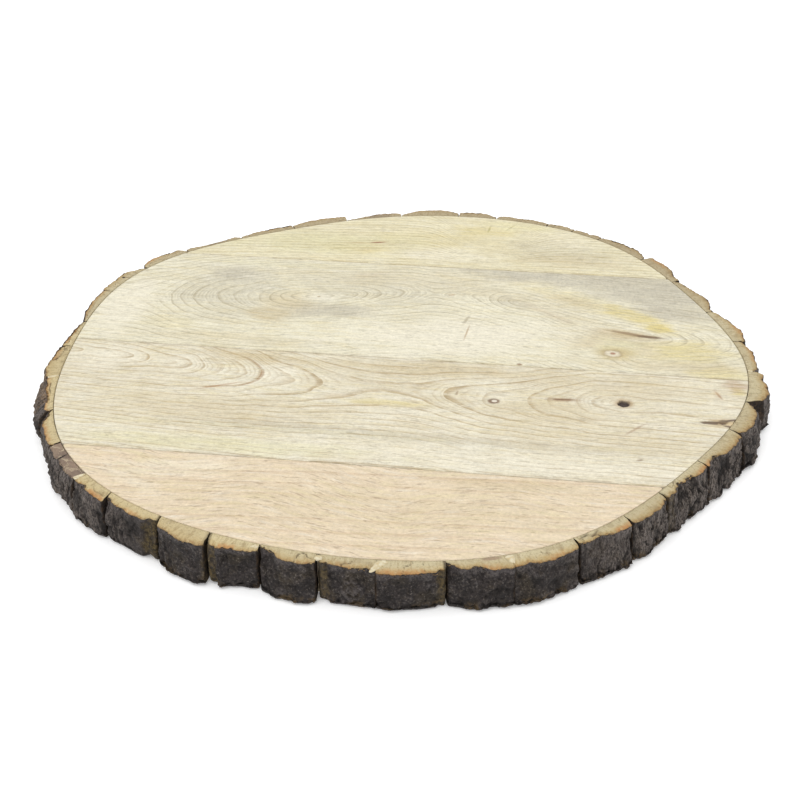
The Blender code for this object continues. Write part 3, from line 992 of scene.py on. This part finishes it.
def filler_reach(joint, inwards):
    """Half the width of a joint's filler, and its sideways shift, at shares of the bark's width.

    Both run straight between their two given values, and the width rounds off to nothing at the two
    ends, as the fourth root of 1 - t⁴ with t from -1 to 1.
    """
    (start, end), widths, shifts = FILLERS[joint]
    share = np.clip((inwards - start) / (end - start), 0.0, 1.0)
    rounding = np.clip(1.0 - (2.0 * share - 1.0) ** 4, 0.0, 1.0) ** 0.25
    half = (widths[0] + (widths[1] - widths[0]) * share) / 2.0 * rounding
    return half * (inwards >= start) * (inwards <= end), shifts[0] + (shifts[1] - shifts[0]) * share


def filler_bed(number, inwards, from_start, to_end):
    """1 where a block is sunk under the filler of the joint at its start or its end, with soft sides."""
    bed = np.zeros(np.broadcast(inwards, from_start).shape)
    for joint, away in ((number, from_start), (number % len(JOINT_CORNERS) + 1, -to_end)):
        if joint in FILLERS:
            half, shift = filler_reach(joint, inwards)
            bed = np.maximum(bed, smooth(np.abs(away - shift), half + 0.5, half - 0.1) * (half > 0.2))
    return bed


def bark_block(number):
    """One block of bark: its closed section carried along the rim, and shrunk to a point at each end.

    Each point lies at the block's own outline there, between the inner and the outer radius, moved
    inwards along the section's outward direction by the relief. The outer face takes the skin's
    relief and the sawn faces a fine one. Corners are rounded: near an end at distance d the outer
    face draws in by c·(1 - √(1 - 0.97·(1 - d/c)²)), with c its corner radius.
    """
    name = f"bark_{number:02d}"
    turns, inner, outer, heights = bark_outline(name)
    length = np.ptp(turns) * BARK_RADIUS
    count = int(length / BARK_SPACING)
    stations = np.linspace(0.0, 1.0, count)
    shrink = np.array(CAP_SHRINK)
    share = np.concatenate([np.zeros(len(shrink)), stations, np.ones(len(shrink))])[:, None]
    keep = np.concatenate([shrink[::-1], np.ones(count), shrink])[:, None]

    inwards, up, outside = bark_section()
    inwards, up, outside = inwards[None, :], up[None, :], outside[None, :]
    place = share * (len(turns) - 1)
    index = np.clip(np.floor(place).astype(int), 0, len(turns) - 2)
    part = place - index
    level = np.interp(up, (heights - heights[0]) / np.ptp(heights), np.arange(FACE_LEVELS))
    low_level = np.clip(np.floor(level).astype(int), 0, FACE_LEVELS - 2)
    level_part = level - low_level

    def outer_at(station):
        """The outer radius of a station at the levels of the section."""
        return outer[station, low_level] * (1.0 - level_part) + outer[station, low_level + 1] * level_part

    out = outer_at(index) * (1.0 - part) + outer_at(index + 1) * part
    inside = inner[index] * (1.0 - part) + inner[index + 1] * part
    turn = turns[index] * (1.0 - part) + turns[index + 1] * part
    seed = 3 * number
    along = turn * BARK_RADIUS
    height = heights[0] + np.ptp(heights) * up + 0.0 * share

    # The top's outer line wanders, and the ends draw in
    jag = 0.55 * layered(along / 2.4, 0.0, 0.0, seed + 6) + 0.2
    out = out - jag * smooth(up, 0.6, 1.0)
    lip = 0.9 * layered(along / 2.2, height / 4.0, 0.0, seed + 15) - 0.4
    out = out + lip * smooth(up, 0.3, 0.0) * (0.3 + 0.7 * strand_share(turn))
    from_end = np.minimum(share, 1.0 - share) * length
    joints = JOINT_CORNERS[number - 1], JOINT_CORNERS[number % len(JOINT_CORNERS)]
    corner = np.where(share < 0.5, *joints)
    tightness = smooth(corner, 0.8, 0.5)
    corner = corner * (1.0 + 0.5 * noise(height / 4.0, share * 2.0, 0.0, seed + 7))
    reach = np.clip(1.0 - from_end / corner, 0.0, 1.0)
    out = out - corner * (1.0 - np.sqrt(1.0 - 0.97 * reach ** 2))
    worn = feature(number, "worn", share + 0.05 * noise(height / 2.0, share * 9.0, 0.0, seed + 16), 0.12)
    worn = worn * (1.0 + 0.5 * layered(along / 2.0, height / 2.0, 0.0, seed + 17))
    out = out - worn * np.minimum(3.4, 0.45 * (out - inside)) * smooth(up, 0.5, 1.0)

    # Recesses where the bark is broken away
    ragged = share + 1.1 / length * layered(height / 3.0, share * 6.0, 0.0, seed + 8)
    bare = feature(number, "bare", ragged)
    deep = np.minimum(2.4, 0.45 * (out - inside)) * (1.0 + 0.25 * noise(along / 1.5, height / 7.0, 0.0, seed))
    out = out - bare * deep * (1.0 - 0.3 * smooth(up, 0.0, 0.25))

    # crack here is how much painted shade the skin's cracks, furrows and hollows get
    skin_depth, crack = bark_skin_relief(along, height, strand_share(turn), seed)
    skin_depth = skin_depth * (1.0 - 0.6 * bare) * (1.0 - 0.75 * smooth(up, 0.7, 1.0))
    cut_depth = 0.07 + 0.06 * layered(along / 1.2, inwards * 8.0, height / 2.0, seed + 9)
    distance_in = (1.0 - inwards) * (out - inside)
    if number == WHORL[0]:
        away = np.hypot(along - turns.min() * BARK_RADIUS - WHORL[1] * length, height - WHORL[2])
        ridges = 0.45 * np.cos(away * 2.1 + 1.5 * noise(along / 3.0, height / 3.0, 0.0, seed))
        skin_depth = skin_depth + (ridges - 0.5) * smooth(away, WHORL[3] + 1.0, WHORL[3] - 2.0)
        skin_depth = np.maximum(skin_depth, 0.0)
    crumb = layered(along / 1.6, distance_in / 1.6, 0.0, seed + 10)
    on_top = smooth(up, 0.995, 1.0) * (1.0 - outside)
    crumbling = smooth(distance_in, 2.4, 0.0) * smooth(crumb, -0.1, 0.8) * on_top
    cut_depth = cut_depth + 1.0 * crumbling + 0.5 * smooth(distance_in, 2.0, 0.0) * on_top
    split_line = np.abs(noise(along / 5.0, inwards * 1.5, 0.0, seed + 11))
    split = smooth(split_line, 0.05, 0.0) * smooth(noise(along / 13.0, 0.0, 0.0, seed + 12), 0.1, 0.5)
    split = split * on_top * smooth(inwards, 0.0, 0.15)
    cut_depth = cut_depth + 0.5 * split
    smoke = feature(number, "smoke", share)
    bend = 0.25 * layered(along / 2.5, distance_in / 2.5, 0.0, seed + 18)
    flake, flake_number = plates(along / 8.0 + seed + bend, distance_in / 8.0 + seed + bend, seed)
    flaking = smoke * smooth(flake, 0.09, 0.04) * on_top
    cut_depth = cut_depth + 0.3 * flaking + 0.7 * flake_number * smoke * on_top

    # An outer layer that stands lower, past a crack along the rim
    ledge = feature(number, "ledge", share, 0.06) * on_top
    ledge_line = distance_in - 0.5 * (out - inside) - 0.9 * layered(along / 5.0, 0.0, 0.0, seed + 19)
    ledge_crack = ledge * smooth(np.abs(ledge_line), 0.5, 0.1)
    ledge_crack = ledge_crack * smooth(noise(along / 4.0, 3.0, 0.0, seed), -0.5, 0)
    cut_depth = cut_depth + ledge * (0.8 * smooth(ledge_line, 0.3, -0.3) + 0.5 * ledge_crack)
    bed = filler_bed(number, inwards, share * length, (1.0 - share) * length) * on_top
    cut_depth = cut_depth * (1.0 - bed) + FILLER_BED * bed

    # Section points, and the outward direction in the plane of the section
    radius = inside + (out - inside) * inwards
    across_step = np.roll(radius, -1, axis=1) - np.roll(radius, 1, axis=1)
    up_step = np.roll(height, -1, axis=1) - np.roll(height, 1, axis=1)
    size = np.hypot(across_step, up_step) + 1e-9
    depth = np.where(outside > 0.5, skin_depth, cut_depth)
    soft = np.abs(inwards) * smooth(np.minimum(height - heights[0], heights[-1] - height), 0.8, 0.0)
    depth = depth + 0.45 * soft * outside
    depth = depth * smooth(inwards, -0.02, 0.02)
    radius = radius + depth * up_step / size
    height = height - depth * across_step / size
    radius = np.maximum(radius, inside)
    height = np.clip(height, heights[0], heights[-1])

    # The ends: shrunk to the section's middle, and a little uneven
    radius = radius.mean(axis=1, keepdims=True) * (1.0 - keep) + radius * keep
    height = height.mean(axis=1, keepdims=True) * (1.0 - keep) + height * keep
    side = smooth(share, 0.5, 0.0) - smooth(share, 0.5, 1.0)
    uneven = 0.25 * layered(radius / 2.5, height / 3.5, 0.0, seed + 13) - 0.12 - 0.3 * tightness
    opening = np.where(share < 0.5, *at_joints(number, OPEN_JOINTS)) / 2.0
    opening = opening * smooth(from_end, 5.0, 0.0) * smooth(radius - inside, 0.5, 6.0)
    turn = turn + side * (smooth(from_end, 1.5, 0.0) * uneven + opening) / BARK_RADIUS
    lean = np.where(share < 0.5, *at_joints(number, LEANING_JOINTS))
    turn = turn + lean * (radius - inside) * smooth(from_end, 14.0, 0.0) / BARK_RADIUS

    flaked = 0.4 * layered(along / 4.0, height / 5.0, 0.0, seed + 20)
    rusty = feature(number, "rusty", share + 0.3 * flaked, 0.08) * smooth(up + flaked, 0.25, 0.7)

    below = (1.0 - outside) * (up < 0.001)
    marks = {
        "skin": np.maximum(outside, below * smooth(distance_in, 5.0, 3.0)) * (1.0 - 0.9 * crumbling),
        "across": inwards + 0.0 * share,
        "along": along + 0.0 * inwards,
        "bare": np.maximum(bare * np.maximum(outside, smooth(from_end, 1.5, 0.0)), 0.0),
        # painted shade in the skin's cracks and hollows and in the splits of the sawn top
        "crease_shade": np.clip(crack * outside + split + ledge_crack, 0.0, 1.0),
        # how high the face stands, which the skin's colour uses for painted highlights and painted shade
        "relief": np.clip(1.0 - depth / 2.6, 0.0, 1.0),
        "smoke": smoke * (1.0 - outside),
        "flaking": flaking,
        "chip": feature(number, "chip", share) * smooth(inwards, 0.45, 0.8) * smooth(up, 0.82, 0.97),
        "end": smooth(keep, 1.0, 0.96) + smooth(from_end, 0.7, 0.0) * (1.0 - on_top) * 0.8 + 0.0 * up,
        "stringy": strand_share(turn),
        "rusty": rusty * outside,
        "tone": 0.0 * radius + (number * 0.37) % 1.0,
        "seed": 0.0 * radius + number,
    }
    points = polar_points(radius, turn, height)
    poles = points[[0, -1]].mean(axis=1)
    points = np.concatenate([points.reshape(-1, 3), poles])
    for mark, values in marks.items():
        values = np.broadcast_to(values, radius.shape)
        marks[mark] = np.concatenate([values.ravel(), values[[0, -1]].mean(axis=1)])
    return name, points, capped_tube(*radius.shape), marks


FILLER_GRID = (25, 20)          # along and round


def joint_filler(joint):
    """Filler pressed into the top of a joint, as an oval section carried outwards from the board.

    At each share of the bark's width the section is an ellipse as wide as the filler is there and up
    to FILLER_BED high on each side of its middle, which lies 1.1 of that below the top. Noise is added
    to its size. Both ends close to a point.
    """
    rows, columns = FILLER_GRID
    turns, inner, outer, heights = bark_outline(f"bark_{joint:02d}")
    before = bark_outline(f"bark_{(joint - 2) % len(JOINT_CORNERS) + 1:02d}")
    (start, end), _, _ = FILLERS[joint]
    swing = 0.5 - 0.5 * np.cos(np.linspace(0.0, math.pi, rows))[1:-1, None]
    inwards = start + (end - start) * swing
    half, shift = filler_reach(joint, inwards)
    round_angle = np.linspace(0.0, 2.0 * math.pi, columns, endpoint=False)[None, :]
    lump = 1.0 + 0.1 * layered(inwards * 5.0, np.cos(round_angle), np.sin(round_angle), joint)
    depth_in = min(outer[0, -1], before[2][-1, -1]) - inner[0] - 0.8
    radius = inner[0] + 0.2 + depth_in * inwards
    angle = turns[0] - BARK_GAP / 2.0 / BARK_RADIUS
    sideways = shift + half * np.cos(round_angle) * lump
    turn = angle + sideways / BARK_RADIUS
    swell = np.minimum(1.0, half / half.max() * 1.4)
    height = heights[-1] - FILLER_BED * (1.1 - np.sin(round_angle) * np.minimum(lump, 1.0) * swell)
    ends = []
    for row in (0, -1):
        ends.append([radius[row, 0], turn[row].mean(), heights[-1] - 1.1 * FILLER_BED])
    ends = np.array(ends)
    radius = np.concatenate([(radius + 0.0 * turn).ravel(), ends[:, 0]])
    turn = np.concatenate([turn.ravel(), ends[:, 1]])
    height = np.concatenate([height.ravel(), ends[:, 2]])
    return polar_points(radius, turn, height), capped_tube(rows - 2, columns)


# The bark's finish

# Marks on the sawn tops: middle, half length and half breadth, turn, edge, colour, strength
SAWN_SPOTS = (
    ((62.5, -181.5), (4.6, 1.3), 14, 0.4, (182, 156, 130), 0.85),
    ((-186, 66), (1.2, 1.0), 0, 0.4, (52, 42, 34), 1.0),
    ((-187, 24), (1.1, 0.9), 0, 0.4, (58, 46, 36), 1.0),
    ((-152, -131), (4.5, 0.8), 52, 0.5, (40, 34, 32), 0.9),
)


def make_bark():
    """Bark: dark weathered skin outside, sawn inner bark on the top, and its broken places.

    The sawn top goes from cream beside the board to gold and then rust at the skin. The skin is dark
    with a slight purple and pale specks of dust. Its cracks and hollows are darkened as painted shade,
    brown on the sawn top, and its raised parts lightened as painted highlights. Each block has its own tone.
    """
    bark = Recipe("bark_skin_and_sawn_edge", 0.85, 0.3)
    across = bark.mark("across")
    tone = bark.mark("tone")
    crease_shade = bark.mark("crease_shade")
    shift = bark.mark("seed") * 13.0
    moved = bark.vector(bark.x + shift, bark.y, bark.z)
    coarse = bark.noise(moved, 0.16, 3.0)
    middle = bark.noise(moved, 0.55, 4.0, 0.6)
    fine = bark.noise(moved, 2.2, 4.0, 0.65)
    strands = bark.noise(bark.vector(bark.x * 0.9 + shift, bark.y * 0.9, bark.z * 0.11), 1.0, 4.0, 0.6)
    threads = bark.noise(bark.vector(bark.x * 1.7 + shift, bark.y * 1.7, bark.z * 0.2), 1.0, 3.0, 0.6)
    grains = bark.noise(moved, 0.95, 3.0, 0.7)
    ray_place = bark.vector(bark.mark("along") * 0.8 + shift, across * 1.4, bark.z * 0.1)
    rays = bark.noise(ray_place, 1.0, 4.0, 0.65)
    stringy = bark.mark("stringy")
    relief = bark.mark("relief")
    patches = bark.noise(moved, 0.09, 2.0)
    skin = bark.mix(coarse.fade(0.35, 0.65), colour(46, 41, 40), colour(62, 55, 53))
    skin = bark.coats(
        skin,
        (patches.fade(0.5, 0.68) * 0.55, (74, 63, 44)),
        (middle.fade(0.5, 0.72) * 0.5, (86, 75, 62)),
        # the stringy bark's own paler ridges, stronger on raised parts as a painted highlight
        (stringy * (0.3 + 0.5 * relief), (124, 112, 104)),
        # painted highlight on the skin's raised parts
        (relief.fade(0.5, 0.9) * 0.55, (104, 97, 96)),
    )
    rust = bark.mix(coarse.fade(0.35, 0.6), colour(112, 88, 64), colour(164, 134, 102))
    skin = bark.mix(bark.mark("rusty") * middle.fade(0.3, 0.48), skin, rust)
    skin = bark.coats(
        skin,
        (grains.fade(0.5, 0.34) * 0.85, (28, 24, 23)),
        (grains.fade(0.55, 0.68) * 0.6, (130, 121, 114)),
        (fine.fade(0.7, 0.8) * 0.6, (158, 150, 142)),
        (strands.fade(0.5, 0.35) * (0.2 + 0.4 * stringy), (42, 35, 32)),
        (threads.fade(0.5, 0.62) * stringy * 0.7, (146, 136, 127)),
        (threads.fade(0.49, 0.36) * stringy * 0.8, (34, 28, 26)),
        # painted shade in the skin's hollows
        (relief.fade(0.45, 0.1) * 0.6, (36, 30, 27)),
        # painted shade in the skin's cracks and hollows
        (crease_shade * 0.8, (27, 23, 21)),
    )

    gold = across + (middle - 0.5) * 0.7
    golden = (bark.mark("along") / BARK_RADIUS - GOLDEN_ANGLE).math("ABSOLUTE").fade(1.0, 0.4)
    sawn = bark.mix(gold.fade(0.25, 0.95), colour(228, 214, 174), colour(210, 182, 126))
    sawn = bark.coats(
        sawn,
        (golden * 0.6, (238, 216, 162)),
        (gold.fade(0.7, 1.0) * 0.8, (180, 136, 84)),
        (tone.fade(0.2, 0.9) * 0.22, (182, 160, 120)),
        (bark.y.fade(40.0, 140.0) * 0.46, (168, 144, 110)),
        (coarse.fade(0.54, 0.7) * 0.3, (142, 116, 82)),
        (rays.fade(0.5, 0.34) * 0.4, (164, 136, 92)),
        (rays.fade(0.58, 0.7) * 0.3, (236, 224, 192)),
        (grains.fade(0.45, 0.3) * 0.5, (146, 118, 80)),
        (bark.mark("chip") * middle.fade(0.3, 0.5) * 0.8, (216, 158, 100)),
    )
    rim = (across + (fine - 0.5) * 0.3 + (grains - 0.5) * 0.3).fade(0.88, 1.02)
    sawn = bark.coats(
        sawn,
        (rim * 0.85, (80, 60, 40)),
        # painted shade in the splits and ledge cracks of the sawn top
        (crease_shade * 0.8, (80, 60, 42)),
    )
    smoky = bark.mix(patches.fade(0.4, 0.6), colour(146, 126, 110), colour(170, 147, 126))
    smoky = bark.coats(
        smoky,
        (fine.fade(0.5, 0.3) * 0.4, (84, 72, 68)),
        (bark.mark("flaking") * 0.9, (224, 204, 174)),
    )
    sawn = bark.mix(bark.mark("smoke") * (1.0 - rim * 0.6), sawn, smoky)
    top = bark.z.fade(UNDERSIDE + 4.0, UNDERSIDE + 6.0)
    for centre, radii, turn, edge, stain, strength in SAWN_SPOTS:
        out = bark.ellipse(centre, radii, turn, 0.5)
        sawn = bark.mix(out.fade(1.0 + edge / 2.0, 1.0 - edge) * top * strength, sawn, colour(*stain))

    skinned = (bark.mark("skin") + (fine - 0.5) * 0.4 + (grains - 0.5) * 0.4).fade(0.35, 0.6)
    tint = bark.mix(skinned, sawn, skin)
    ends = bark.mix(middle.fade(0.4, 0.7), colour(40, 31, 24), colour(82, 63, 44))
    tint = bark.mix(bark.mark("end").fade(0.1, 0.7), tint, ends)
    olive = bark.mix(middle.fade(0.35, 0.65), colour(44, 36, 22), colour(100, 84, 52))
    olive = bark.coats(
        olive,
        (strands.fade(0.48, 0.32) * 0.8, (38, 30, 18)),
        (grains.fade(0.58, 0.7) * 0.6, (166, 148, 104)),
    )
    tint = bark.mix(bark.mark("bare") * (0.55 + 0.9 * coarse).fade(0.6, 1.1), tint, olive)
    foot = bark.z.fade(5.5, 1.5) * patches.fade(0.5, 0.6) * middle.fade(0.42, 0.55) * bark.mark("skin")
    tint = bark.mix(foot * 0.8, tint, colour(112, 92, 64))
    height = grains * 1.6 + fine * 0.5 + middle * 0.6 + (strands + threads) * (0.3 + 0.6 * stringy)
    return bark.finish(tint, height, 0.6, 0.66 + 0.25 * fine)


def make_filler():
    """Pale wood filler, lumpy, with yellowish patches and a few dark crumbs."""
    filler = Recipe("joint_filler", 0.8, 0.3)
    patches = filler.noise(filler.place, 0.6, 3.0)
    crumbs = filler.noise(filler.place, 1.6, 3.0, 0.7)
    tint = filler.mix(patches.fade(0.35, 0.65), colour(236, 226, 196), colour(218, 200, 158))
    tint = filler.mix(crumbs.fade(0.42, 0.28) * 0.6, tint, colour(150, 122, 84))
    return filler.finish(tint, crumbs * 1.0 + patches, 0.3)


# The board

front_wood = make_wood(
    "tan_plank_front", (239, 221, 192), (229, 210, 180), (192, 154, 116), 9.0, 0.26, 0.4, (), None, 40.0
)
mid_front_wood = make_wood(
    "pale_plank_mid_front", (241, 235, 213), (230, 221, 195), (176, 150, 106), MID_FRONT_RING, 0.72, 0.3,
    MID_FRONT_KNOTS, (8, (-84, -46), (30, 22)),
)
mid_back_wood = make_wood(
    "pale_plank_mid_back", (243, 237, 212), (233, 226, 198), (174, 161, 130), MID_BACK_RING, 0.66, 0.3,
    MID_BACK_KNOTS,
)
back_wood = make_wood(
    "pale_plank_back", (244, 236, 203), (232, 223, 188), (182, 162, 108), 4.2, 0.72, 0.3, BACK_KNOTS
)
bark_finish = make_bark()

NO_CROWD = ((), ())
add_plank("plank_front", front_rings, plank_relief, FRONT_STAINS, NO_CROWD, front_wood)
add_plank(
    "plank_mid_front", mid_front_rings, mid_front_relief, MID_FRONT_STAINS,
    ((124, 172), (-46.5, -59)), mid_front_wood,
)
add_plank("plank_mid_back", mid_back_rings, plank_relief, MID_BACK_STAINS, NO_CROWD, mid_back_wood)
add_plank("plank_back", back_rings, plank_relief, BACK_STAINS, NO_CROWD, back_wood)

bark_numbers = [int(name[-2:]) for name in sorted(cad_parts) if name.startswith("bark_")]
for number in bark_numbers:
    node, points, faces, marks = bark_block(number)
    make_piece(node + "_block", node, points, faces, marks, bark_finish)
filler_finish = make_filler()
for joint in FILLERS:
    points, faces = joint_filler(joint)
    make_piece(f"joint_{joint:02d}_filler", None, points, faces, {}, filler_finish)


# Floor, light and camera

CAMERA_AZIMUTH = 7.22           # degrees round from straight in front
CAMERA_LENS = 52.5
CAMERA_TILT = 58.0              # degrees up from straight down, so it looks 32 degrees down
CAMERA_PLACE = (0.0725, -0.5767, 0.3489)        # in metres


def add_floor():
    """A wide plain floor at the board's underside."""
    floor = Recipe("studio_floor", 0.9, 0.1)
    floor.shader.inputs["Emission Color"].default_value = (1.0, 1.0, 1.0, 1.0)
    floor.shader.inputs["Emission Strength"].default_value = 0.12
    speckle = floor.noise(floor.place, 0.4, 2.0)
    floor.finish(floor.mix(speckle, colour(253, 253, 253, 1.0), colour(255, 255, 255, 1.0)))
    mesh = bpy.data.meshes.new("floor")
    corners = [(-3.0, -3.0, 0.0), (3.0, -3.0, 0.0), (3.0, 3.0, 0.0), (-3.0, 3.0, 0.0)]
    mesh.from_pydata(corners, [], [(0, 1, 2, 3)])
    mesh.materials.append(floor.material)
    piece = bpy.data.objects.new("floor", mesh)
    bpy.context.scene.collection.objects.link(piece)


def add_area_light(name, azimuth, elevation, distance, size, power):
    """A square soft light that faces the board from an azimuth and an elevation in degrees."""
    light = bpy.data.lights.new(name, "AREA")
    light.size = size
    light.energy = power
    lamp = bpy.data.objects.new(name, light)
    turn, rise = math.radians(azimuth), math.radians(elevation)
    lamp.location = (
        distance * math.cos(rise) * math.sin(turn),
        -distance * math.cos(rise) * math.cos(turn),
        distance * math.sin(rise),
    )
    lamp.rotation_euler = (math.pi / 2.0 - rise, 0.0, turn)
    bpy.context.scene.collection.objects.link(lamp)


def add_camera():
    """The camera, aimed down at the board."""
    camera = bpy.data.objects.new("camera", bpy.data.cameras.new("camera"))
    camera.data.lens = CAMERA_LENS
    camera.location = CAMERA_PLACE
    camera.rotation_euler = (math.radians(CAMERA_TILT), 0.0, math.radians(CAMERA_AZIMUTH))
    bpy.context.scene.collection.objects.link(camera)
    bpy.context.scene.camera = camera


def add_world(strength):
    """An even white surround."""
    world = bpy.data.worlds.new("studio")
    world.use_nodes = True
    background = world.node_tree.nodes["Background"]
    background.inputs["Color"].default_value = (1.0, 1.0, 1.0, 1.0)
    background.inputs["Strength"].default_value = strength
    bpy.context.scene.world = world


add_floor()
add_world(1.02)
add_area_light("key_light", -35, 60, 2.2, 1.6, 14.0)
add_area_light("back_light", 160, 50, 2.4, 1.4, 6.0)
add_camera()
bpy.context.scene.view_settings.view_transform = "Standard"
